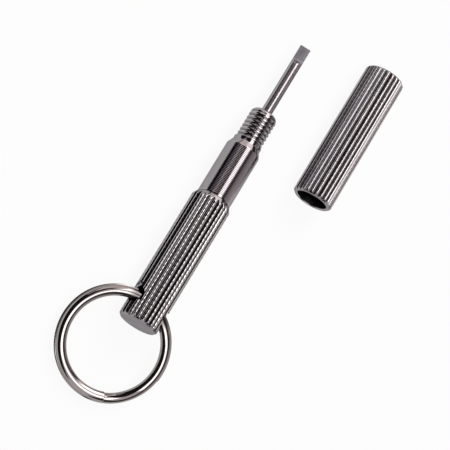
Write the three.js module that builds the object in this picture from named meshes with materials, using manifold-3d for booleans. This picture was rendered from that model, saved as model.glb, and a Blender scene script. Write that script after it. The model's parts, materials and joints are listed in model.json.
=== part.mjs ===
// Pocket eyeglass screwdriver: two knurled sleeves on a double-ended core, with a split key ring.
// The core has a slotted blade in front and a cross blade behind, and each sleeve screws over one of them.
// It lies as if on a table with the cap taken off. +X runs from tail to tip, +Y is left and +Z is up.
// The origin is the middle of the tail's flat end. Sizes are in millimetres, and angles in degrees.
import * as THREE from "three";
import { mergeVertices } from "three/addons/utils/BufferGeometryUtils.js";
import Module from "manifold-3d";

const wasm = await Module();
wasm.setup();

// Knurled bar that both sleeves are cut from
const sleeveDiameter = 7.5;
const knurlCount = 24;
const knurlDepth = 0.34;
const knurlCrest = 0.18;
const edgeBreak = 0.38;

// Handle barrel
const barrelLength = 25.8;
const barrelShoulder = 1;
const ringHoleFromTail = 3.5;
const ringHoleRise = 0.8;
const ringHoleSkew = 10.1;
const ringHoleSink = 0.3;
const ringHoleWall = 2;

// Core: a smooth neck between two threaded ends
const neckDiameter = 6.35;
const neckLength = 11.4;
const neckTaper = 1.1;
const collarDiameter = 5.3;
const collarLength = 0.8;
const threadDiameter = 5;
const threadNose = 1.2;
const threadNoseDrop = 0.95;
const frontThreadLength = 7;
const rearThreadLength = 6.5;

// Blades
const bladeDiameter = 2;
const bladeSeatDepth = 8;
const slottedReach = 14.2;
const slottedGrind = 3.6;
const slottedHeel = 1;
const slottedHeelThick = 0.84;
const slottedEdge = 0.4;
const slottedLean = 15;
const crossTaper = 2.4;
const crossPoint = 0.7;
const crossWeb = 0.28;
const crossFluteSlope = 9;

// Cap
const capFloor = 4.8;
const capMouthDepth = 1.3;
const capMouthX = 36.5;
const capSpacing = 15.4;

// Split key ring of oval wire, wound from its upper end, with a slightly wider lower coil
const ringOuterDiameter = 20.2;
const wireWidth = 1.84;
const wireDepth = 0.85;
const coilGap = 0.42;
const coilSpread = 0.22;
const coilEndAngle = 214.5;
const coilStepStart = 310;
const coilStepEnd = 356;
const coilTotal = 660;

// Clearances
const threadFit = 0.1;
const bladeFit = 0.05;
const seamGap = 0.05;
const mouthRoom = 0.2;
const bladeRoom = 0.65;
const boreRoom = 0.8;
const ringRoom = 0.14;
const tableGap = 0.05;
const overcut = 1;

// Facets
const turnedSteps = 56;
const boreSteps = 28;
const noseSteps = 4;
const heelSteps = 5;
const ringStepsPerTurn = 50;
const wireSides = 12;

const radians = THREE.MathUtils.degToRad;
const sleeveRadius = sleeveDiameter / 2;
const boreRadius = threadDiameter / 2 + threadFit;
const bladeBoreRadius = bladeDiameter / 2 + bladeRoom;

// The wire curves inside its hole, so the ring turns about the middle of that bow
const ringRadius = (ringOuterDiameter - wireWidth) / 2;
const coilPitch = wireDepth + coilGap;
const ringDepth = coilPitch + wireDepth;
const wireBow = ringRadius - Math.sqrt(ringRadius ** 2 - sleeveRadius ** 2);
const pivotToCentre = ringRadius + (coilSpread - wireBow) / 2;
const ringHoleRadius = wireReach() + ringRoom;
const bladeBoreFloor = ringHoleFromTail + ringHoleRadius + ringHoleWall;
const crossReach = barrelLength - rearThreadLength - bladeBoreFloor - boreRoom;
const capLength = frontThreadLength + slottedReach + boreRoom + capFloor;

const darkNickel = { color: 0x77737a, metalness: 1, roughness: 0.22 };
const brightNickel = { color: 0x9c979b, metalness: 1, roughness: 0.14 };
const toolSteel = { color: 0x86848a, metalness: 1, roughness: 0.3 };

// A closed geometry as a solid that can be cut and joined
function solid(geometry) {
  const bare = geometry.clone();
  bare.deleteAttribute("normal");
  bare.deleteAttribute("uv");
  const merged = mergeVertices(bare, 1e-5);
  const vertProperties = new Float32Array(merged.attributes.position.array);
  const triVerts = new Uint32Array(merged.index.array);
  return new wasm.Manifold(new wasm.Mesh({ numProp: 3, vertProperties, triVerts }));
}

function geometryOf(body) {
  const mesh = body.getMesh();
  const geometry = new THREE.BufferGeometry();
  geometry.setAttribute("position", new THREE.BufferAttribute(mesh.vertProperties, 3));
  geometry.setIndex(new THREE.BufferAttribute(mesh.triVerts, 1));
  geometry.computeVertexNormals();
  return geometry;
}

function piece(name, geometry, finish) {
  const mesh = new THREE.Mesh(geometry, new THREE.MeshStandardMaterial(finish));
  mesh.name = name;
  return mesh;
}

// A turned form about Y from [radius, height] pairs that start and end on the axis
function turnedForm(profile, steps) {
  const points = profile.map(([radius, height]) => new THREE.Vector2(radius, height));
  return new THREE.LatheGeometry(points, steps);
}

// Straight ribs about Y with narrow crests and sharp valleys, one crest towards -Z
function knurledBar(length) {
  const ribAngle = (2 * Math.PI) / knurlCount;
  const crestAngle = knurlCrest / sleeveRadius;
  const points = [];
  for (let rib = 0; rib < knurlCount; rib += 1) {
    const angle = Math.PI / 2 + rib * ribAngle;
    const valley = sleeveRadius - knurlDepth;
    points.push(new THREE.Vector2(sleeveRadius, 0).rotateAround(new THREE.Vector2(), angle - crestAngle / 2));
    points.push(new THREE.Vector2(sleeveRadius, 0).rotateAround(new THREE.Vector2(), angle + crestAngle / 2));
    points.push(new THREE.Vector2(valley, 0).rotateAround(new THREE.Vector2(), angle + ribAngle / 2));
  }
  const bar = new THREE.ExtrudeGeometry(new THREE.Shape(points), { depth: length, bevelEnabled: false });
  return bar.rotateX(-Math.PI / 2);
}

// A length of the knurled bar whose two ends are turned down, each by a drop over a rise
function knurledSleeve(length, lowEnd, highEnd) {
  const bar = knurledBar(length + 2 * overcut).translate(0, -overcut, 0);
  const outside = sleeveRadius + overcut;
  const ends = turnedForm(
    [
      [0, 0],
      [sleeveRadius - lowEnd.drop, 0],
      [outside, (lowEnd.rise * (lowEnd.drop + overcut)) / lowEnd.drop],
      [outside, length - (highEnd.rise * (highEnd.drop + overcut)) / highEnd.drop],
      [sleeveRadius - highEnd.drop, length],
      [0, length],
    ],
    turnedSteps,
  );
  return solid(bar).intersect(solid(ends));
}

// The drill for the ring's hole, wider at both mouths, across the barrel along X and above its axis
function ringHole() {
  const sinkFrom = Math.sqrt(sleeveRadius ** 2 - ringHoleRise ** 2) - ringHoleSink;
  const end = sleeveRadius + overcut;
  const sinkRadius = ringHoleRadius + end - sinkFrom;
  const drill = turnedForm(
    [
      [0, -end],
      [sinkRadius, -end],
      [ringHoleRadius, -sinkFrom],
      [ringHoleRadius, sinkFrom],
      [sinkRadius, end],
      [0, end],
    ],
    boreSteps,
  );
  drill.rotateZ(Math.PI / 2 - radians(ringHoleSkew));
  return drill.translate(0, ringHoleFromTail, ringHoleRise);
}

// The barrel stands on its tail about Y, with a stepped socket in its front for the core and its cross blade
function handleBarrel() {
  const tail = { drop: edgeBreak, rise: edgeBreak };
  const front = { drop: (sleeveDiameter - neckDiameter) / 2 - seamGap, rise: barrelShoulder };
  const socketFloor = barrelLength - rearThreadLength - boreRoom;
  const socket = turnedForm(
    [
      [0, bladeBoreFloor],
      [bladeBoreRadius, bladeBoreFloor],
      [bladeBoreRadius, socketFloor],
      [boreRadius, socketFloor],
      [boreRadius, barrelLength + overcut],
      [0, barrelLength + overcut],
    ],
    boreSteps,
  );
  const sleeve = knurledSleeve(barrelLength, tail, front);
  return geometryOf(sleeve.subtract(solid(socket)).subtract(solid(ringHole())));
}

// The thread's rounded nose as [radius, height] pairs up to its end at height 0
function roundedNose() {
  const nose = [];
  for (let step = 0; step <= noseSteps; step += 1) {
    const angle = (Math.PI / 2) * (step / noseSteps);
    const drop = threadNoseDrop * (1 - Math.cos(angle));
    nose.push([threadDiameter / 2 - drop, threadNose * (Math.sin(angle) - 1)]);
  }
  return nose;
}

// The core about Y, with its neck starting at height 0 and a blind seat for a blade in each end
function threadedNeck() {
  const neck = neckDiameter / 2;
  const collar = collarDiameter / 2;
  const thread = threadDiameter / 2;
  const seat = bladeDiameter / 2 + bladeFit;
  const rearEnd = -rearThreadLength;
  const frontEnd = neckLength + frontThreadLength;
  const frontNose = roundedNose().map(([radius, height]) => [radius, frontEnd + height]);
  const rearNose = roundedNose().map(([radius, height]) => [radius, rearEnd - height]);
  return turnedForm(
    [
      [0, rearEnd + bladeSeatDepth],
      [seat, rearEnd + bladeSeatDepth],
      [seat, rearEnd],
      ...rearNose.reverse(),
      [thread, seamGap],
      [neck, seamGap],
      [neck, neckLength - neckTaper],
      [collar, neckLength],
      [collar, neckLength + collarLength],
      [thread, neckLength + collarLength],
      ...frontNose,
      [seat, frontEnd],
      [seat, frontEnd - bladeSeatDepth],
      [0, frontEnd - bladeSeatDepth],
    ],
    turnedSteps,
  );
}

// A round rod with its seated end at height 0, ground on two sides from a hollow heel to a straight edge
function slottedBlade() {
  const length = bladeSeatDepth - seamGap + slottedReach;
  const heelFrom = length - slottedGrind;
  const heelMiddle = heelFrom + slottedHeel / 2;
  const heelEnd = heelFrom + slottedHeel;
  const heel = slottedHeelThick / 2;
  const edge = slottedEdge / 2;
  const bladeRadius = bladeDiameter / 2;
  const outside = bladeRadius + overcut;
  const ground = new THREE.Shape();
  ground.moveTo(-outside, -overcut);
  ground.lineTo(outside, -overcut);
  ground.lineTo(outside, heelFrom);
  ground.lineTo(bladeRadius, heelFrom);
  ground.quadraticCurveTo(heel, heelMiddle, heel, heelEnd);
  ground.lineTo(edge, length);
  ground.lineTo(-edge, length);
  ground.lineTo(-heel, heelEnd);
  ground.quadraticCurveTo(-heel, heelMiddle, -bladeRadius, heelFrom);
  ground.lineTo(-outside, heelFrom);
  const wedge = new THREE.ExtrudeGeometry(ground, {
    depth: 2 * outside,
    bevelEnabled: false,
    curveSegments: heelSteps,
  });
  wedge.translate(0, 0, -outside);
  const rodEnd = length + overcut;
  const rod = turnedForm([[0, 0], [bladeRadius, 0], [bladeRadius, rodEnd], [0, rodEnd]], boreSteps);
  return geometryOf(solid(rod).intersect(solid(wedge)));
}

// A round rod with a tapered point and four flutes that deepen towards it, with its seated end at height 0
function crossBlade() {
  const length = bladeSeatDepth - seamGap + crossReach;
  const rod = turnedForm(
    [
      [0, 0],
      [bladeDiameter / 2, 0],
      [bladeDiameter / 2, length - crossTaper],
      [crossPoint / 2, length],
      [0, length],
    ],
    boreSteps,
  );
  let blade = solid(rod);
  for (let flute = 0; flute < 4; flute += 1) {
    const cutter = new THREE.BoxGeometry(bladeDiameter, 4 * crossTaper, bladeDiameter);
    cutter.rotateY(Math.PI / 4);
    cutter.translate(bladeDiameter * Math.SQRT1_2, 0, 0);
    cutter.rotateZ(radians(crossFluteSlope));
    cutter.translate(crossWeb, length, 0);
    cutter.rotateY((flute * Math.PI) / 2);
    blade = blade.subtract(solid(cutter));
  }
  return geometryOf(blade);
}

// The cap about Y, with its mouth at height 0 and a stepped bore for the core's front and its slotted blade
function capShell() {
  const end = { drop: edgeBreak, rise: edgeBreak };
  const mouthRadius = collarDiameter / 2 + mouthRoom;
  const threadFloor = frontThreadLength + boreRoom;
  const bladeFloor = capLength - capFloor;
  const bore = turnedForm(
    [
      [0, -overcut],
      [mouthRadius, -overcut],
      [mouthRadius, capMouthDepth],
      [boreRadius, capMouthDepth + mouthRadius - boreRadius],
      [boreRadius, threadFloor],
      [bladeBoreRadius, threadFloor],
      [bladeBoreRadius, bladeFloor],
      [0, bladeFloor],
    ],
    boreSteps,
  );
  return geometryOf(knurledSleeve(capLength, end, end).subtract(solid(bore)));
}

// Outline of the oval wire, as [outwards, upwards] pairs
function wireOutline() {
  const outline = [];
  for (let side = 0; side < wireSides; side += 1) {
    const angle = (2 * Math.PI * side) / wireSides;
    outline.push([(wireWidth / 2) * Math.cos(angle), (wireDepth / 2) * Math.sin(angle)]);
  }
  return outline;
}

// How far the two coils reach from the middle of their bow inside the hole
function wireReach() {
  const bowedOut = (wireBow + coilSpread) / 2;
  const reaches = wireOutline().map(([outwards, upwards]) =>
    Math.hypot(Math.abs(outwards) + bowedOut, Math.abs(upwards) + coilPitch / 2),
  );
  return Math.max(...reaches);
}

// The wire's outline at each step of its two turns about Z, from the upper coil down to the lower one
function wireSections() {
  const outline = wireOutline();
  const steps = Math.round((coilTotal / 360) * ringStepsPerTurn);
  const sections = [];
  for (let step = 0; step <= steps; step += 1) {
    const wound = (coilTotal * step) / steps;
    const angle = radians(coilEndAngle - wound);
    const lowered = THREE.MathUtils.smoothstep(wound, coilStepStart, coilStepEnd);
    const height = coilPitch * (0.5 - lowered);
    const section = outline.map(([outwards, upwards]) => {
      const radius = ringRadius + coilSpread * lowered + outwards;
      return new THREE.Vector3(radius * Math.cos(angle), radius * Math.sin(angle), height + upwards);
    });
    sections.push(section);
  }
  return sections;
}

// One unbroken wire: its sections joined in turn, with a flat end at each side
function splitRing(sections) {
  const count = sections[0].length;
  const last = (sections.length - 1) * count;
  const index = [];
  for (let step = 0; step + 1 < sections.length; step += 1) {
    for (let corner = 0; corner < count; corner += 1) {
      const here = step * count + corner;
      const beside = step * count + ((corner + 1) % count);
      index.push(here, beside, beside + count);
      index.push(here, beside + count, here + count);
    }
  }
  for (let corner = 1; corner + 1 < count; corner += 1) {
    index.push(0, corner + 1, corner);
    index.push(last, last + corner, last + corner + 1);
  }
  const geometry = new THREE.BufferGeometry().setFromPoints(sections.flat());
  geometry.setIndex(index);
  geometry.computeVertexNormals();
  return geometry;
}

// Least distance between points of the wire that are at least half a turn apart along it
function leastGap(sections) {
  let least = Infinity;
  sections.forEach((section, step) => {
    const apart = sections.slice(step + ringStepsPerTurn / 2).flat();
    for (const point of section) {
      least = apart.reduce((gap, other) => Math.min(gap, point.distanceTo(other)), least);
    }
  });
  return least;
}

// The driver's own pieces stand about Y, tail down, and are laid along +X together
const driver = new THREE.Group();
driver.rotation.z = -Math.PI / 2;
driver.add(piece("handle_barrel", handleBarrel(), darkNickel));

const core = new THREE.Group();
core.position.y = barrelLength;
core.add(piece("threaded_neck", threadedNeck(), darkNickel));
driver.add(core);

const slotted = piece("slotted_blade", slottedBlade(), toolSteel);
slotted.position.y = neckLength + frontThreadLength - bladeSeatDepth + seamGap;
slotted.rotation.y = radians(90 - slottedLean);
core.add(slotted);

const cross = piece("cross_blade", crossBlade(), toolSteel);
cross.position.y = bladeSeatDepth - rearThreadLength - seamGap;
cross.rotation.z = Math.PI;
core.add(cross);

// The cap lies beside the driver, mouth towards the tail
const cap = piece("cap", capShell(), darkNickel);
cap.position.set(capMouthX, -capSpacing, 0);
cap.rotation.z = -Math.PI / 2;

// The ring turns about its hole and comes down to the table behind the tail
const sections = wireSections();
console.log("key_ring: least gap of the wire to itself", leastGap(sections).toFixed(3), "mm");
const ring = piece("key_ring", splitRing(sections), brightNickel);
ring.position.x = -pivotToCentre;

const fallToTable = sleeveRadius + ringHoleRise - ringDepth / 2 - tableGap;
const swing = new THREE.Group();
swing.rotation.y = -Math.asin(fallToTable / (pivotToCentre + ringRadius + coilSpread));
swing.add(ring);

const ringPivot = new THREE.Group();
ringPivot.position.set(ringHoleFromTail, 0, ringHoleRise);
ringPivot.rotation.z = -radians(ringHoleSkew);
ringPivot.add(swing);

const screwdriver = new THREE.Group();
screwdriver.add(driver, cap, ringPivot);

export default screwdriver;
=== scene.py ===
import json
import math

import bmesh
import bpy
from mathutils import Matrix, Vector


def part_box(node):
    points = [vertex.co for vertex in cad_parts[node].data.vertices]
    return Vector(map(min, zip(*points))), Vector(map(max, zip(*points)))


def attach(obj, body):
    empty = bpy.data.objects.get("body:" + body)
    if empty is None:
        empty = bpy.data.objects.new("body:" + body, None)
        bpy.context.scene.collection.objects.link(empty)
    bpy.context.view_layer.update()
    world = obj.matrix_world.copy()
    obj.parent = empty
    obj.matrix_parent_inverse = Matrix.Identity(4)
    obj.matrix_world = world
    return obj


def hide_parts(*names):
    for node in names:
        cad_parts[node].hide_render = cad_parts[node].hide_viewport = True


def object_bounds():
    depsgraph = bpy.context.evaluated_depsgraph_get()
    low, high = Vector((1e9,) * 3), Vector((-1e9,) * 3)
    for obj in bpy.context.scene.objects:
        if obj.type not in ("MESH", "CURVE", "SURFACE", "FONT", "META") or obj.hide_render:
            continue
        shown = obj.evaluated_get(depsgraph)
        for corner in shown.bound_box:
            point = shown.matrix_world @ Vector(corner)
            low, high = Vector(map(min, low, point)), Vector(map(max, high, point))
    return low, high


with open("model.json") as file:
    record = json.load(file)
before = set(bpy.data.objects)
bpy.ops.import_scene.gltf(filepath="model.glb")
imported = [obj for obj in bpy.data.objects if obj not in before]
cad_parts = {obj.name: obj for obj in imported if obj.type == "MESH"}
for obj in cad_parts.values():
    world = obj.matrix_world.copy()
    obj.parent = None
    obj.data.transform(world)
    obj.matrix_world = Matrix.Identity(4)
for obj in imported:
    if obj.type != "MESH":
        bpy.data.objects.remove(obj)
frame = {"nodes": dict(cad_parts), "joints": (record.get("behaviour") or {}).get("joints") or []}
cadLow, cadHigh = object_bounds()
mm = 0.001
scene = bpy.context.scene
print("frame loaded:", ", ".join(sorted(frame["nodes"])))

# edges that turn by more than this many degrees are shaded sharp
sharpAngles = {"turned": 38, "ground": 30, "wire": 40, "table": 30}

# wear and painted shade of the surface: painted shade in a recess, plain metal, and rubbed or ground
recessShade, plainWear, groundWear = 0.0, 0.5, 1.0


# everything that is turned, knurled or drawn grows from one loop of edges, pushed on station by station
# a station is a function from the angle round the loop to (point in mm, wear and painted shade)
def pushedLoop(name, segments, stations, sharpAngle):
    bm = bmesh.new()
    wearAndShadeLayer = bm.verts.layers.float.new("wearAndShade")
    bmesh.ops.create_circle(bm, cap_ends=False, segments=segments, radius=1)
    loop = list(bm.verts)
    angles = [math.atan2(v.co.y, v.co.x) for v in loop]
    edges = list(bm.edges)
    firstEdges = edges
    for number, station in enumerate(stations):
        if number:
            grown = bmesh.ops.extrude_edge_only(bm, edges=edges)["geom"]
            fresh = {v for v in grown if isinstance(v, bmesh.types.BMVert)}
            loop = [next(e.other_vert(v) for e in v.link_edges if e.other_vert(v) in fresh) for v in loop]
            edges = [e for e in grown if isinstance(e, bmesh.types.BMEdge) and fresh.issuperset(e.verts)]
        for vert, angle in zip(loop, angles):
            point, wearAndShade = station(angle)
            vert.co = Vector(point) * mm
            vert[wearAndShadeLayer] = wearAndShade
    bmesh.ops.edgeloop_fill(bm, edges=firstEdges)
    bmesh.ops.edgeloop_fill(bm, edges=edges)
    bmesh.ops.recalc_face_normals(bm, faces=bm.faces)
    return finishedPiece(name, bm, sharpAngle)


def finishedPiece(name, bm, sharpAngle):
    mesh = bpy.data.meshes.new(name)
    bm.to_mesh(mesh)
    bm.free()
    piece = bpy.data.objects.new(name, mesh)
    scene.collection.objects.link(piece)
    shadeEdges(piece, sharpAngle)
    return piece


def shadeEdges(piece, sharpAngle):
    piece.data.shade_smooth()
    piece.data.set_sharp_from_angle(angle=math.radians(sharpAngle))


# a station square to the driver's axis: radius is a number, or a function of the angle
def around(x, radius, axisY=0.0, wearAndShade=plainWear):
    def station(angle):
        r = radius(angle) if callable(radius) else radius
        w = wearAndShade(angle) if callable(wearAndShade) else wearAndShade
        return (x, axisY + r * math.cos(angle), r * math.sin(angle)), w
    return station


def steps(start, end, count):
    return [start + (end - start) * i / count for i in range(1, count + 1)]


def smooth(low, high, value):
    share = min(1.0, max(0.0, (value - low) / (high - low)))
    return share * share * (3 - 2 * share)


# straight knurl, shared by the barrel and the cap
knurl = {
    "ribs": 24,
    "pointsPerRib": 16,
    "depth": 0.34,
    "crest": 0.25,       # flat part of a rib, as a share of its width
    "soft": 0.2,         # rounding of its two edges
    "stepLength": 0.22,
    "startSteps": 10,
    "endSteps": 14,
    "runOut": 1.25,      # the end cones go on past the crests by this share
    "endBreak": 0.38,
    "ripplePitch": 0.88,
    "grooveShadeClimb": 1.3,   # above 1 the painted shade of the groove climbs up the flanks
    "shadedSideSpread": (25, 45),   # degrees from the shaded side where its painted shade starts to fade and is gone
    "endWear": 0.5,
    "faceWear": 0.62,
}
knurlPoints = knurl["ribs"] * knurl["pointsPerRib"]


# 1 on a rib's crest and 0 in the groove
def crestShare(angle, firstCrest):
    turn = (angle - firstCrest) / (2 * math.pi) * knurl["ribs"]
    fromCrest = abs((turn + 0.5) % 1.0 - 0.5) * 2

    def dip(share):
        return share - knurl["crest"] + math.hypot(share - knurl["crest"], knurl["soft"])

    return 1 - (dip(fromCrest) - dip(0)) / (dip(1) - dip(0))


# sleeve holds its outer radius, axisY, the ripple along the crests and the painted shade in the grooves
# crestAt and the shaded side's angle are degrees from the top towards -Y of one crest and of the side with
# painted shade the side's share says how far its wear is pulled to the painted shade level
def knurlStation(x, sleeve, limit):
    firstCrest = math.radians(90 + sleeve["crestAt"])
    beat = sleeve["ripple"] * (1 - math.cos(2 * math.pi * x / knurl["ripplePitch"])) / 2

    def rib(angle):
        crest = crestShare(angle, firstCrest)
        return sleeve["outer"] - knurl["depth"] * (1 - crest) - beat * crest

    def radius(angle):
        return min(rib(angle), limit)

    def wearAndShade(angle):
        if rib(angle) > limit:
            return knurl["endWear"]
        rubbed = crestShare(angle, firstCrest) ** knurl["grooveShadeClimb"]
        fromShadedSide = abs(math.degrees(angle) - 90 - sleeve["shadedSideAt"])
        shadedSide = sleeve["shadedSide"] * (1 - smooth(*knurl["shadedSideSpread"], fromShadedSide))
        bright = sleeve["grooveShade"] + (1 - sleeve["grooveShade"]) * rubbed
        return bright + (sleeve["shadedSideLevel"] - bright) * shadedSide

    return around(x, radius, sleeve["axisY"], wearAndShade)


# the ribbed outside from one end to the other, each end turned down by (drop, length)
def knurledSkin(start, end, sleeve, startEnd, endEnd):
    outer = sleeve["outer"]
    startDrop, startLength = startEnd
    endDrop, endLength = endEnd
    runOut = knurl["runOut"]
    stations = []
    for x in steps(start, start + startLength * runOut, knurl["startSteps"]):
        stations.append((x, outer - startDrop + (x - start) * startDrop / startLength))
    middle = end - endLength * runOut
    count = round((middle - stations[-1][0]) / knurl["stepLength"])
    stations += [(x, outer) for x in steps(stations[-1][0], middle, count)]
    for x in steps(middle, end, knurl["endSteps"]):
        stations.append((x, outer - endDrop + (end - x) * endDrop / endLength))
    return [knurlStation(x, sleeve, limit) for x, limit in stations]


# cut threads, shared by the core and the cap
thread = {"pitch": 0.8, "depth": 0.22, "steps": 18, "flank": (0.14, 0.86)}


def threadCut(x, angle):
    phase = (x / thread["pitch"] - angle / (2 * math.pi)) % 1.0
    return smooth(*thread["flank"], abs(2 * phase - 1))


# mottling and polishing marks, shared by all the finishes
grainMix = {
    "cloudDetail": 3.0,
    "markDetail": 4.0,
    "noiseSpan": (0.3, 0.7),     # the noise rarely leaves this range
    "rubbedSpan": (0.3, 0.6),    # clouds in this range let the rubbed metal through
    "rubbedShare": (0.7, 1.0),   # by these shares
    "bumpHeight": 0.02 * mm,
}


def nodeOf(tree, kind, **settings):
    node = tree.nodes.new(kind)
    for key, value in settings.items():
        setattr(node, key, value)
    return node


def metal(name, finish):
    material = bpy.data.materials.new(name)
    material.use_nodes = True
    tree = material.node_tree
    shader = tree.nodes["Principled BSDF"]
    shader.inputs["Metallic"].default_value = 1.0
    shader.inputs["Specular Tint"].default_value = (*finish["grazing"], 1)
    link = tree.links.new
    place = nodeOf(tree, "ShaderNodeTexCoord")

    def grain(scale, detail):
        stretch = nodeOf(tree, "ShaderNodeMapping")
        stretch.inputs["Scale"].default_value = scale
        noise = nodeOf(tree, "ShaderNodeTexNoise")
        noise.inputs["Scale"].default_value = 1.0
        noise.inputs["Detail"].default_value = detail
        link(place.outputs["Object"], stretch.inputs["Vector"])
        link(stretch.outputs["Vector"], noise.inputs["Vector"])
        return noise.outputs["Fac"]

    def between(source, fromRange, toRange):
        spread = nodeOf(tree, "ShaderNodeMapRange")
        spread.inputs["From Min"].default_value, spread.inputs["From Max"].default_value = fromRange
        spread.inputs["To Min"].default_value, spread.inputs["To Max"].default_value = toRange
        link(source, spread.inputs["Value"])
        return spread.outputs["Result"]

    def times(first, second):
        product = nodeOf(tree, "ShaderNodeMath", operation="MULTIPLY")
        link(first, product.inputs[0])
        link(second, product.inputs[1])
        return product.outputs[0]

    def plus(first, second):
        total = nodeOf(tree, "ShaderNodeMath", operation="ADD")
        link(first, total.inputs[0])
        link(second, total.inputs[1])
        return total.outputs[0]

    def blend(share, first, second):
        mix = nodeOf(tree, "ShaderNodeMix", data_type="RGBA")
        link(share, mix.inputs["Factor"])
        for colour, socket in ((first, mix.inputs[6]), (second, mix.inputs[7])):
            if isinstance(colour, tuple):
                socket.default_value = (*colour, 1)
            else:
                link(colour, socket)
        return mix.outputs[2]

    clouds = grain(finish["cloudScale"], grainMix["cloudDetail"])
    marks = grain(finish["markScale"], grainMix["markDetail"])
    noiseSpan = grainMix["noiseSpan"]
    wearAndShade = nodeOf(tree, "ShaderNodeAttribute", attribute_name="wearAndShade").outputs["Fac"]
    # below the plain level the colour goes to painted shade, above it to rubbed or ground metal
    unshaded = between(wearAndShade, (recessShade, plainWear), (0.0, 1.0))
    rubbed = between(wearAndShade, (plainWear, groundWear), (0.0, 1.0))
    rubbed = times(rubbed, between(clouds, grainMix["rubbedSpan"], grainMix["rubbedShare"]))
    plain = blend(between(clouds, noiseSpan, (0.0, 1.0)), finish["dark"], finish["light"])
    link(blend(rubbed, blend(unshaded, finish["shadeColour"], plain), finish["worn"]), shader.inputs["Base Color"])
    polish = between(marks, noiseSpan, finish["roughness"])
    polish = plus(polish, between(rubbed, (0.0, 1.0), (0.0, finish["wornRougher"])))
    haze = nodeOf(tree, "ShaderNodeAttribute", attribute_name="haze").outputs["Fac"]
    polish = plus(polish, between(haze, (0.0, 1.0), (0.0, finish["hazeRougher"])))
    link(polish, shader.inputs["Roughness"])
    bump = nodeOf(tree, "ShaderNodeBump")
    bump.inputs["Strength"].default_value = finish["bump"]
    bump.inputs["Distance"].default_value = grainMix["bumpHeight"]
    link(marks, bump.inputs["Height"])
    link(bump.outputs["Normal"], shader.inputs["Normal"])
    return material


# scales are cycles a metre along X, Y and Z; grazing is how much is left of the mirror at the edges
# the first colour of each finish is painted shade for recesses, grooves and a shaded side
sleeveFinish = {
    "shadeColour": (0.03, 0.027, 0.03), "dark": (0.28, 0.265, 0.28), "light": (0.33, 0.315, 0.325),
    "worn": (0.77, 0.75, 0.72), "grazing": (0.45, 0.43, 0.45),
    "roughness": (0.07, 0.13), "wornRougher": 0.03, "hazeRougher": 0.12,
    "cloudScale": (220, 500, 500), "markScale": (600, 3000, 3000), "bump": 0.05,
}
coreFinish = {
    "shadeColour": (0.06, 0.055, 0.06), "dark": (0.29, 0.275, 0.285), "light": (0.325, 0.31, 0.32),
    "worn": (0.48, 0.46, 0.46), "grazing": (0.6, 0.57, 0.6),
    "roughness": (0.05, 0.11), "wornRougher": 0.0, "hazeRougher": 0.0,
    "cloudScale": (300, 260, 260), "markScale": (3700, 60, 60), "bump": 0.08,
}
bladeFinish = {
    "shadeColour": (0.1, 0.1, 0.1), "dark": (0.35, 0.335, 0.345), "light": (0.41, 0.39, 0.4),
    "worn": (0.125, 0.123, 0.137), "grazing": (0.3, 0.29, 0.3),
    "roughness": (0.24, 0.3), "wornRougher": 0.14, "hazeRougher": 0.0,
    "cloudScale": (300, 600, 600), "markScale": (700, 9000, 9000), "bump": 0.08,
}
ringFinish = {
    "shadeColour": (0.04, 0.036, 0.036), "dark": (0.29, 0.272, 0.262), "light": (0.34, 0.32, 0.308),
    "worn": (0.6, 0.58, 0.56), "grazing": (0.6, 0.56, 0.55),
    "roughness": (0.05, 0.11), "wornRougher": 0.0, "hazeRougher": 0.0,
    "cloudScale": (260, 260, 260), "markScale": (2500, 2500, 2500), "bump": 0.04,
}
sleeveMetal = metal("darkNickelKnurled", sleeveFinish)
coreMetal = metal("darkNickelTurned", coreFinish)
bladeMetal = metal("groundToolSteel", bladeFinish)
ringMetal = metal("brightNickelWire", ringFinish)
print("materials made")


def dress(piece, material, body, slot, *nodes):
    piece.data.materials.clear()
    piece.data.materials.append(material)
    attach(piece, body)
    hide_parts(*nodes)
    print(piece.name, len(piece.data.polygons), "faces")


# sizes that the frame already holds, in mm
def sides(node):
    low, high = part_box(node)
    return low / mm, high / mm


barrelLow, barrelHigh = sides("handle_barrel")
neckLow, neckHigh = sides("threaded_neck")
slottedLow, slottedHigh = sides("slotted_blade")
crossLow, crossHigh = sides("cross_blade")
capLow, capHigh = sides("cap")
ringJoint = next(j for j in frame["joints"] if j["name"] == "ring_swing")
sleeveRadius = (barrelHigh.z - barrelLow.z) / 2
neckRadius = (neckHigh.z - neckLow.z) / 2

barrel = {
    "shoulder": 1.0,
    "seam": 0.05,
    "boreRadius": 2.6,
    "bladeBoreRadius": 1.65,
    "boreRoom": 0.8,
    "lip": 0.12,
    "crestAt": 5.5,
    "ripple": 0.048,
    # painted shade in the grooves
    "grooveShade": 0.15,
    # painted shade on one side of the barrel
    "shadedSideAt": -70.0,
    "shadedSide": 0.25,
    "shadedSideLevel": 0.0,
    "ringHole": 1.72,
    "ringHoleSink": 0.1,
    "drillPoints": 96,
    "drillOverrun": 1.0,
    # painted shade inside the bores
    "boreShade": 0.1,
}


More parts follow.
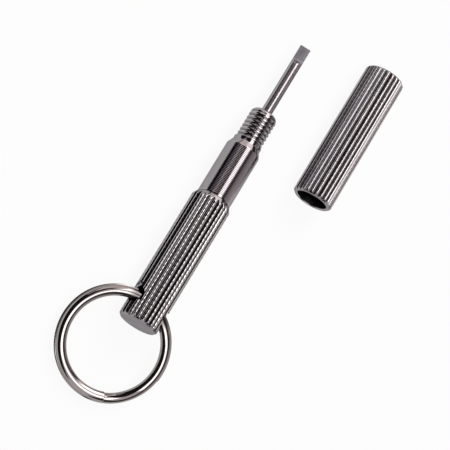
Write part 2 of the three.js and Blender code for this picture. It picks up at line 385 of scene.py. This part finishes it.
def makeBarrel():
    tail, front = barrelLow.x, barrelHigh.x
    tailBreak, boreShade = knurl["endBreak"], barrel["boreShade"]
    frontRadius = neckRadius + barrel["seam"]
    bore, bladeBore = barrel["boreRadius"], barrel["bladeBoreRadius"]
    socketFloor = neckLow.x - barrel["boreRoom"]
    bladeFloor = crossLow.x - barrel["boreRoom"]
    sleeve = {"outer": sleeveRadius, "axisY": 0.0, **barrel}
    stations = [around(tail, sleeveRadius - tailBreak, wearAndShade=knurl["faceWear"])]
    stations += knurledSkin(
        tail, front, sleeve, (tailBreak, tailBreak), (sleeveRadius - frontRadius, barrel["shoulder"]),
    )
    stations += [
        around(front, bore + barrel["lip"], wearAndShade=boreShade),
        around(front - barrel["lip"], bore, wearAndShade=boreShade),
        around(socketFloor, bore, wearAndShade=boreShade),
        around(socketFloor, bladeBore, wearAndShade=boreShade),
        around(bladeFloor, bladeBore, wearAndShade=boreShade),
    ]
    piece = pushedLoop("knurledBarrel", knurlPoints, stations, sharpAngles["turned"])
    drillRingHole(piece)
    dress(piece, sleeveMetal, "handle", "sleeve", "handle_barrel")


# the ring's hole is cut by a drill that widens at both mouths; the drill carries the painted shade of a
# recess onto the hole's walls
def drillRingHole(piece):
    hole = barrel["ringHole"]
    axis = Vector(ringJoint["axis"]).normalized()
    side = axis.cross(Vector((0, 0, 1))).normalized()
    middle = Vector(ringJoint["pos_m"]) / mm
    reach = sleeveRadius + barrel["drillOverrun"]
    sinkFrom = math.sqrt(sleeveRadius ** 2 - middle.z ** 2) - barrel["ringHoleSink"]
    flare = hole + reach - sinkFrom
    outline = [(-reach, flare), (-sinkFrom, hole), (sinkFrom, hole), (reach, flare)]

    def across(along, radius):
        def station(angle):
            point = middle + axis * along + side * radius * math.cos(angle)
            return point + Vector((0, 0, radius * math.sin(angle))), recessShade
        return station

    stations = [across(along, radius) for along, radius in outline]
    drill = pushedLoop("ringDrill", barrel["drillPoints"], stations, sharpAngles["turned"])
    cut = piece.modifiers.new("ringHole", "BOOLEAN")
    cut.operation = "DIFFERENCE"
    cut.solver = "EXACT"
    cut.object = drill
    bpy.context.view_layer.update()
    drilled = bpy.data.meshes.new_from_object(piece.evaluated_get(bpy.context.evaluated_depsgraph_get()))
    bm = bmesh.new()
    bm.from_mesh(drilled)
    rim = [f for f in bm.faces if 4 < len(f.verts) < knurlPoints]   # faces that the drill cut
    bmesh.ops.poke(bm, faces=rim)
    bm.to_mesh(drilled)
    bm.free()
    piece.modifiers.clear()
    piece.data = drilled
    bpy.data.objects.remove(drill)
    shadeEdges(piece, sharpAngles["turned"])


makeBarrel()

core = {
    "seam": 0.05,
    "neckLength": 11.4,
    "taper": 1.1,
    "collarRadius": 2.65,
    "collarLength": 0.8,
    "threadRadius": 2.5,
    "nose": 1.2,
    "noseDrop": 0.95,
    "shallow": (0.4, 2.0),   # the thread deepens from nothing to its full cut, in mm from the nose
    "collarStep": 0.02,
    "taperBreak": (0.012, 0.05),     # how far the taper has dropped at its first edge and past it
    "collarFillet": (0.075, 0.015),  # how far it still stands above the collar before and at its end
    "relief": 0.9,
    "reliefRamp": 0.2,
    "reliefRadius": 2.05,
    # painted shade in the thread relief groove
    "reliefShade": 0.2,
    "seatRadius": 1.05,
    "seatDepth": 8.0,
    "seatBreak": 0.08,
    "turnPitch": 0.27,   # fine rings that the lathe tool left on the neck
    "turnDepth": 0.02,
    "turnSteps": 6,
    "edge": 0.12,
    "edgeWear": 0.8,
    "crestWear": 0.75,
    # painted shade in the thread's grooves
    "grooveShade": 0.25,
    "segments": 112,
}


# a threaded length whose run-outs follow a limit on the radius
def threadedSkin(start, end, nose, limitAt):
    count = round(abs(end - start) / thread["pitch"] * thread["steps"])

    def at(x):
        depth = thread["depth"] * smooth(*core["shallow"], abs(x - nose))

        def radius(angle):
            return min(core["threadRadius"], limitAt(x)) - depth * threadCut(x, angle)

        def wearAndShade(angle):
            return core["crestWear"] + (core["grooveShade"] - core["crestWear"]) * threadCut(x, angle)

        return around(x, radius, 0.0, wearAndShade)

    return [at(x) for x in steps(start, end, count)]


def makeCore():
    rear, front = neckLow.x, neckHigh.x
    barrelFace = barrelHigh.x
    neckStart = barrelFace + core["seam"]
    neckEnd = barrelFace + core["neckLength"]
    taperFrom = neckEnd - core["taper"]
    collarEnd = neckEnd + core["collarLength"]
    edge, seat, edgeWear = core["edge"], core["seatRadius"], core["edgeWear"]
    collar, relief, reliefShade = core["collarRadius"], core["reliefRadius"], core["reliefShade"]
    topBreak, lowBreak = core["taperBreak"]
    highFillet, lowFillet = core["collarFillet"]
    seatBreak = core["seatBreak"]

    def roundedNose(x):
        toEnd = min(1.0, max(0.0, min(x - rear, front - x) / core["nose"]))
        return core["threadRadius"] - core["noseDrop"] * (1 - math.sqrt(1 - (1 - toEnd) ** 2))

    # painted shade of a recess inside the blade seats at both ends and in the relief groove
    stations = [
        around(rear + core["seatDepth"], seat, wearAndShade=recessShade),
        around(rear, seat, wearAndShade=recessShade),
        around(rear, core["threadRadius"] - core["noseDrop"] - edge),
    ]
    stations += threadedSkin(rear, neckStart - core["relief"], rear, roundedNose)
    stations += [
        around(neckStart - core["relief"] + core["reliefRamp"], relief, wearAndShade=reliefShade),
        around(neckStart, relief, wearAndShade=reliefShade),
        around(neckStart, neckRadius - edge),
        around(neckStart + edge, neckRadius, wearAndShade=edgeWear),
    ]
    turnFrom, turnTo = neckStart + 3 * edge, taperFrom - edge
    turnCount = round((turnTo - turnFrom) / core["turnPitch"]) * core["turnSteps"]
    for number, x in enumerate(steps(turnFrom, turnTo, turnCount)):
        turned = (1 - math.cos(2 * math.pi * number / core["turnSteps"])) / 2
        stations.append(around(x, neckRadius - core["turnDepth"] * turned))
    stations += [
        around(taperFrom, neckRadius - topBreak, wearAndShade=edgeWear),
        around(taperFrom + edge, neckRadius - lowBreak),
        around(neckEnd - edge, collar + highFillet),
        around(neckEnd, collar + lowFillet),
        around(neckEnd + edge, collar),
        around(collarEnd - edge, collar),
        around(collarEnd, collar - edge, wearAndShade=edgeWear),
    ]
    stations += threadedSkin(collarEnd + core["collarStep"], front, front, roundedNose)
    stations += [
        around(front, seat + seatBreak),
        around(front - seatBreak, seat, wearAndShade=recessShade),
        around(front - core["seatDepth"], seat, wearAndShade=recessShade),
    ]
    piece = pushedLoop("threadedCore", core["segments"], stations, sharpAngles["turned"])
    dress(piece, coreMetal, "core", "core", "threaded_neck")


makeCore()

slotted = {
    "radius": 1.0,
    "grind": 3.6,
    "heel": 1.0,
    "heelHalf": 0.42,
    "edgeHalf": 0.2,
    "lean": 15.0,
    "tipBreak": 0.05,
    "rodEnd": 0.4,   # last plain stretch of the rod before the grind
    "grindSteps": 32,
    "segments": 72,
}


def makeSlottedBlade():
    start, tip = slottedLow.x, slottedHigh.x
    radius, tipBreak, heel = slotted["radius"], slotted["tipBreak"], slotted["heel"]
    lean = math.radians(slotted["lean"])
    flat = Vector((0, math.sin(lean), math.cos(lean)))
    width = Vector((0, math.cos(lean), -math.sin(lean)))
    grindFrom = tip - slotted["grind"]

    # half the thickness: a hollow heel, then a straight taper to the edge
    def halfAt(x):
        ground = x - grindFrom
        if ground <= 0:
            return radius
        if ground < heel:
            return slotted["heelHalf"] + (radius - slotted["heelHalf"]) * (1 - ground / heel) ** 2
        taper = (ground - heel) / (slotted["grind"] - heel)
        return slotted["heelHalf"] + (slotted["edgeHalf"] - slotted["heelHalf"]) * taper

    def at(x, shrink=0.0):
        half = halfAt(x)

        def station(angle):
            rod = radius * math.cos(angle)
            up = max(-half + shrink, min(half - shrink, rod))
            out = (radius - shrink) * math.sin(angle)
            wearAndShade = groundWear if abs(rod) > half else plainWear
            return Vector((x, 0, 0)) + flat * up + width * out, wearAndShade
        return station

    stations = [at(start), at(grindFrom - slotted["rodEnd"]), at(grindFrom)]
    stations += [at(x) for x in steps(grindFrom, tip - tipBreak, slotted["grindSteps"])]
    stations += [at(tip, tipBreak)]
    piece = pushedLoop("slottedTip", slotted["segments"], stations, sharpAngles["ground"])
    dress(piece, bladeMetal, "core", "blade", "slotted_blade")


makeSlottedBlade()

cross = {
    "radius": 1.0,
    "taper": 2.4,
    "pointRadius": 0.35,
    "web": 0.28,
    "slope": 9.0,
    "fluteLength": 5.2,
    "fluteSteps": 40,
    "leastFacing": 0.05,   # keeps the flute's radius finite beside a wing
    "segments": 96,
}


def makeCrossBlade():
    tip, seated = crossLow.x, crossHigh.x
    slope = math.tan(math.radians(cross["slope"]))

    def at(x):
        fromTip = x - tip
        point = cross["pointRadius"] + (cross["radius"] - cross["pointRadius"]) * fromTip / cross["taper"]
        rod = min(cross["radius"], point)
        web = cross["web"] + slope * fromTip

        def radius(angle):
            flute = (angle + math.pi / 4) % (math.pi / 2) - math.pi / 4
            facing = math.cos(flute) - abs(math.sin(flute))
            return min(rod, web / max(facing, cross["leastFacing"]))
        return around(x, radius)

    stations = [at(x) for x in [tip] + steps(tip, tip + cross["fluteLength"], cross["fluteSteps"])]
    stations += [at(seated)]
    piece = pushedLoop("crossTip", cross["segments"], stations, sharpAngles["ground"])
    dress(piece, bladeMetal, "core", "blade", "cross_blade")


makeCrossBlade()

cap = {
    "floor": 4.8,
    "threadDepth": 7.8,
    "mouthRadius": 2.85,
    "mouthDepth": 1.3,
    "boreRadius": 2.6,
    "bladeBoreRadius": 1.65,
    "threadCut": 0.3,
    "threadSteps": 8,
    "lip": 0.1,
    "crestAt": -1.0,
    "ripple": 0.02,
    # painted shade in the grooves
    "grooveShade": 0.12,
    # painted shade on one side of the cap
    "shadedSideAt": -64.0,
    "shadedSide": 0.7,
    "shadedSideLevel": 0.42,
    "haze": 1.0,
    "rimWear": 0.6,
    # painted shade inside the bore and its thread
    "boreShade": 0.05,
}


def makeCap():
    mouth, closed = capLow.x, capHigh.x
    axisY = (capLow.y + capHigh.y) / 2
    endBreak = knurl["endBreak"]
    lip, mouthRadius, bore = cap["lip"], cap["mouthRadius"], cap["boreRadius"]
    boreShade, rimWear = cap["boreShade"], cap["rimWear"]
    threadEnd = mouth + cap["threadDepth"]
    threadStart = mouth + cap["mouthDepth"] + mouthRadius - bore
    runOut = thread["pitch"]

    def cutAt(x):
        fade = 1 - smooth(threadEnd - runOut, threadEnd, x)
        return around(x, lambda angle: bore + cap["threadCut"] * fade * threadCut(x, angle), axisY, boreShade)

    stations = [
        around(closed - cap["floor"], cap["bladeBoreRadius"], axisY, boreShade),
        around(threadEnd, cap["bladeBoreRadius"], axisY, boreShade),
        around(threadEnd, bore, axisY, boreShade),
    ]
    turns = (threadEnd - threadStart) / thread["pitch"]
    stations += [cutAt(x) for x in steps(threadEnd, threadStart, round(turns * cap["threadSteps"]))]
    stations += [
        around(mouth + cap["mouthDepth"], mouthRadius, axisY, boreShade),
        around(mouth + lip, mouthRadius, axisY, rimWear),
        around(mouth, mouthRadius + lip, axisY, rimWear),
        around(mouth, sleeveRadius - endBreak, axisY, rimWear),
    ]
    ends = (endBreak, endBreak)
    sleeve = {"outer": sleeveRadius, "axisY": axisY, **cap}
    stations += knurledSkin(mouth, closed, sleeve, ends, ends)
    piece = pushedLoop("knurledCap", knurlPoints, stations, sharpAngles["turned"])
    haze = piece.data.attributes.new("haze", "FLOAT", "POINT")
    haze.data.foreach_set("value", [cap["haze"]] * len(piece.data.vertices))
    dress(piece, sleeveMetal, "cap", "sleeve", "cap")


makeCap()

# half-round wire wound from its upper end, flat sides together; the lower coil is a little wider
splitRing = {
    "outerRadius": 10.055,
    "wireWidth": 1.84,
    "wireDepth": 1.03,
    "squareness": 2.3,   # 2 is a plain half-round, higher has a flatter crown and steeper sides
    "flatSide": 0.12,    # bulge of the flat side, as a share of the depth
    # painted shade on the wire where it goes into the barrel's hole
    "holeShade": 0.1,
    "holeShadeAngles": (21.0, 33.0),   # painted shade up to the first angle from the hole, none past the second
    "coilGap": 0.06,
    "spread": 0.22,
    "endAngle": 214.5,
    "stepStart": 310.0,
    "stepEnd": 356.0,
    "rollEnd": 384.0,    # past the step the crown rolls under, out of sight below the upper coil
    "total": 660.0,
    "stepAngle": 2.2,
    "tableGap": 0.05,
    "segments": 40,
    "endBreak": 0.1,
}


def makeRing():
    width, depth, spread = splitRing["wireWidth"], splitRing["wireDepth"], splitRing["spread"]
    radius = splitRing["outerRadius"] - width / 2
    pitch = depth + splitRing["coilGap"]
    pivot = Vector(ringJoint["pos_m"]) / mm
    axis = Vector(ringJoint["axis"])
    bow = radius - math.sqrt(radius ** 2 - sleeveRadius ** 2)
    toCentre = radius + (spread - bow) / 2
    fall = sleeveRadius + pivot.z - (pitch + depth) / 2 - splitRing["tableGap"]
    swing = math.asin(fall / (toCentre + radius + spread))
    placed = (
        Matrix.Translation(pivot)
        @ Matrix.Rotation(-math.atan2(axis.x, axis.y), 4, "Z")
        @ Matrix.Rotation(-swing, 4, "Y")
        @ Matrix.Translation((-toCentre, 0, 0))
    )
    power = 2 / splitRing["squareness"]
    flatSide = splitRing["flatSide"] * depth
    shadedTo, unshadedFrom = splitRing["holeShadeAngles"]
    holeShade = splitRing["holeShade"]

    def at(wound, shrink=0.0):
        turn = math.radians(splitRing["endAngle"] - wound)
        lowered = smooth(splitRing["stepStart"], splitRing["stepEnd"], wound)
        rolled = smooth(splitRing["stepEnd"], splitRing["rollEnd"], wound)
        below = flatSide + (depth - 2 * flatSide) * rolled
        middle = pitch * (0.5 - lowered) - depth / 2 + below
        fromHole = abs((splitRing["endAngle"] - wound + 180) % 360 - 180)
        wearAndShade = holeShade + (plainWear - holeShade) * smooth(shadedTo, unshadedFrom, fromHole)

        def station(angle):
            c, s = math.cos(angle), math.sin(angle)
            far = radius + spread * lowered + (width / 2 - shrink) * math.copysign(abs(c) ** power, c)
            rise = depth - below if s > 0 else below
            height = middle + max(0.0, rise - shrink) * math.copysign(abs(s) ** power, s)
            return placed @ Vector((far * math.cos(turn), far * math.sin(turn), height)), wearAndShade
        return station

    endBreak = splitRing["endBreak"]
    breakAngle = math.degrees(endBreak / radius)
    total = splitRing["total"]
    count = round(total / splitRing["stepAngle"])
    stations = [at(0.0, endBreak), at(breakAngle)]
    stations += [at(wound) for wound in steps(breakAngle, total - breakAngle, count)]
    stations += [at(total, endBreak)]
    piece = pushedLoop("splitKeyRing", splitRing["segments"], stations, sharpAngles["wire"])
    dress(piece, ringMetal, "key_ring", "ring", "key_ring")


makeRing()

# pale table
table = {"size": 4.0, "shadowShare": 0.08, "paper": 0.95}


def makeTable():
    bm = bmesh.new()
    bmesh.ops.create_grid(bm, x_segments=1, y_segments=1, size=table["size"] / 2)
    bmesh.ops.translate(bm, verts=bm.verts, vec=(0, 0, cadLow.z))
    floor = finishedPiece("table", bm, sharpAngles["table"])
    material = bpy.data.materials.new("whiteTable")
    material.use_nodes = True
    tree = material.node_tree
    tree.nodes.remove(tree.nodes["Principled BSDF"])
    link = tree.links.new
    paths = nodeOf(tree, "ShaderNodeLightPath")
    seen = nodeOf(tree, "ShaderNodeMath", operation="MAXIMUM")
    link(paths.outputs["Is Camera Ray"], seen.inputs[0])
    link(paths.outputs["Is Glossy Ray"], seen.inputs[1])
    seenAll = nodeOf(tree, "ShaderNodeMath", operation="MAXIMUM")
    link(seen.outputs[0], seenAll.inputs[0])
    link(paths.outputs["Is Transmission Ray"], seenAll.inputs[1])
    share = nodeOf(tree, "ShaderNodeMath", operation="MULTIPLY")
    link(seenAll.outputs[0], share.inputs[0])
    share.inputs[1].default_value = 1 - table["shadowShare"]
    card = nodeOf(tree, "ShaderNodeBsdfDiffuse")
    card.inputs["Color"].default_value = (*[table["paper"]] * 3, 1)
    glow = nodeOf(tree, "ShaderNodeEmission")
    glow.inputs["Strength"].default_value = 1.0
    both = nodeOf(tree, "ShaderNodeMixShader")
    link(share.outputs[0], both.inputs["Fac"])
    link(card.outputs[0], both.inputs[1])
    link(glow.outputs[0], both.inputs[2])
    link(both.outputs[0], tree.nodes["Material Output"].inputs["Surface"])
    floor.data.materials.append(material)


makeTable()


# two strips overhead and cards round the table; sizes and places are in metres
lamps = {
    "stripOverDriver": {
        "place": (0.41, -0.081, 0.6), "size": (0.56, 0.258), "long": (1, 0, 0),
        "radiance": 3.1, "colour": (1.0, 1.0, 1.0),
    },
    "stripOverRing": {
        "place": (-0.14, -0.081, 0.6), "size": (0.22, 0.258), "long": (1, 0, 0),
        "radiance": 3.1, "colour": (1.0, 1.0, 1.0),
    },
    "cardBeyondTip": {
        "place": (0.72, 0.1, 0.4), "size": (1.0, 0.7), "long": (0, 1, 0),
        "radiance": 1.3, "colour": (1.0, 0.88, 0.84),
    },
    "cardAtLeft": {
        "place": (0.45, 0.53, 0.38), "size": (0.24, 0.42), "long": (1, -1, 0),
        "radiance": 0.5, "colour": (1.0, 0.84, 1.0),
    },
    "cardAtRight": {
        "place": (0.45, -0.53, 0.42), "size": (0.24, 0.3), "long": (1, 1, 0),
        "radiance": 0.42, "colour": (1.0, 0.76, 0.68),
    },
}
lampAim = Vector((0.025, -0.004, 0.0))


def hangLamp(name, lamp):
    light = bpy.data.lights.new(name, "AREA")
    light.shape = "RECTANGLE"
    light.size, light.size_y = lamp["size"]
    light.color = lamp["colour"]
    light.energy = lamp["radiance"] * math.pi * light.size * light.size_y
    holder = bpy.data.objects.new(name, light)
    back = (Vector(lamp["place"]) - lampAim).normalized()
    along = Vector(lamp["long"])
    along = (along - back * along.dot(back)).normalized()
    turned = Matrix((along, back.cross(along), back)).transposed().to_4x4()
    holder.matrix_world = Matrix.Translation(lamp["place"]) @ turned
    scene.collection.objects.link(holder)


for lampName, lampSettings in lamps.items():
    hangLamp(lampName, lampSettings)

# the room: degrees from the zenith towards -Y, and how bright the walls and ceiling are there
room = {
    "tint": (1.0, 0.9, 0.94),
    "stops": [
        (-60, 0.014), (-8, 0.03), (-3, 1.0), (18, 1.0), (24, 0.08), (37, 0.04), (62, 0.55), (80, 0.78),
    ],
}


def lightRoom():
    world = bpy.data.worlds.new("dimStudio")
    scene.world = world
    world.use_nodes = True
    tree = world.node_tree
    link = tree.links.new
    look = nodeOf(tree, "ShaderNodeTexCoord")
    split = nodeOf(tree, "ShaderNodeSeparateXYZ")
    across = nodeOf(tree, "ShaderNodeMapRange")
    ramp = nodeOf(tree, "ShaderNodeValToRGB")
    link(look.outputs["Generated"], split.inputs[0])
    link(split.outputs["Y"], across.inputs["Value"])
    across.inputs["From Min"].default_value, across.inputs["From Max"].default_value = 1.0, -1.0
    link(across.outputs["Result"], ramp.inputs["Fac"])
    elements = ramp.color_ramp.elements
    while len(elements) < len(room["stops"]):
        elements.new(1.0)
    for element, (angle, level) in zip(elements, room["stops"]):
        element.position = (1 + math.sin(math.radians(angle))) / 2
        element.color = (*[level * part for part in room["tint"]], 1)
    link(ramp.outputs["Color"], tree.nodes["Background"].inputs["Color"])


lightRoom()
print("lamps and room set")

# camera fitted to the photograph's frame of 450 pixels
view = {
    "azimuth": 134.702,
    "elevation": 65.929,
    "roll": 79.157,
    "distance": 0.51336,
    "focalPixels": 2978.9,
    "framePixels": 450,
    "target": (0.023431, -0.004211, 0.0),
    "nearest": 0.02,
}


def makeCamera():
    azimuth, elevation, roll = (math.radians(view[k]) for k in ("azimuth", "elevation", "roll"))
    back = Vector((
        math.cos(elevation) * math.cos(azimuth),
        math.cos(elevation) * math.sin(azimuth),
        math.sin(elevation),
    ))
    up = Vector((0, 0, 1))
    up = (up - back * up.dot(back)).normalized()
    right = up.cross(back)
    rolledRight = right * math.cos(roll) + up * math.sin(roll)
    rolledUp = up * math.cos(roll) - right * math.sin(roll)
    data = bpy.data.cameras.new("photoCamera")
    data.sensor_fit = "HORIZONTAL"
    data.angle = 2 * math.atan(view["framePixels"] / 2 / view["focalPixels"])
    data.clip_start = view["nearest"]
    camera = bpy.data.objects.new("photoCamera", data)
    place = Vector(view["target"]) + back * view["distance"]
    turned = Matrix((rolledRight, rolledUp, back)).transposed().to_4x4()
    camera.matrix_world = Matrix.Translation(place) @ turned
    scene.collection.objects.link(camera)
    scene.camera = camera


makeCamera()
scene.view_settings.view_transform = "Standard"
print("camera set")
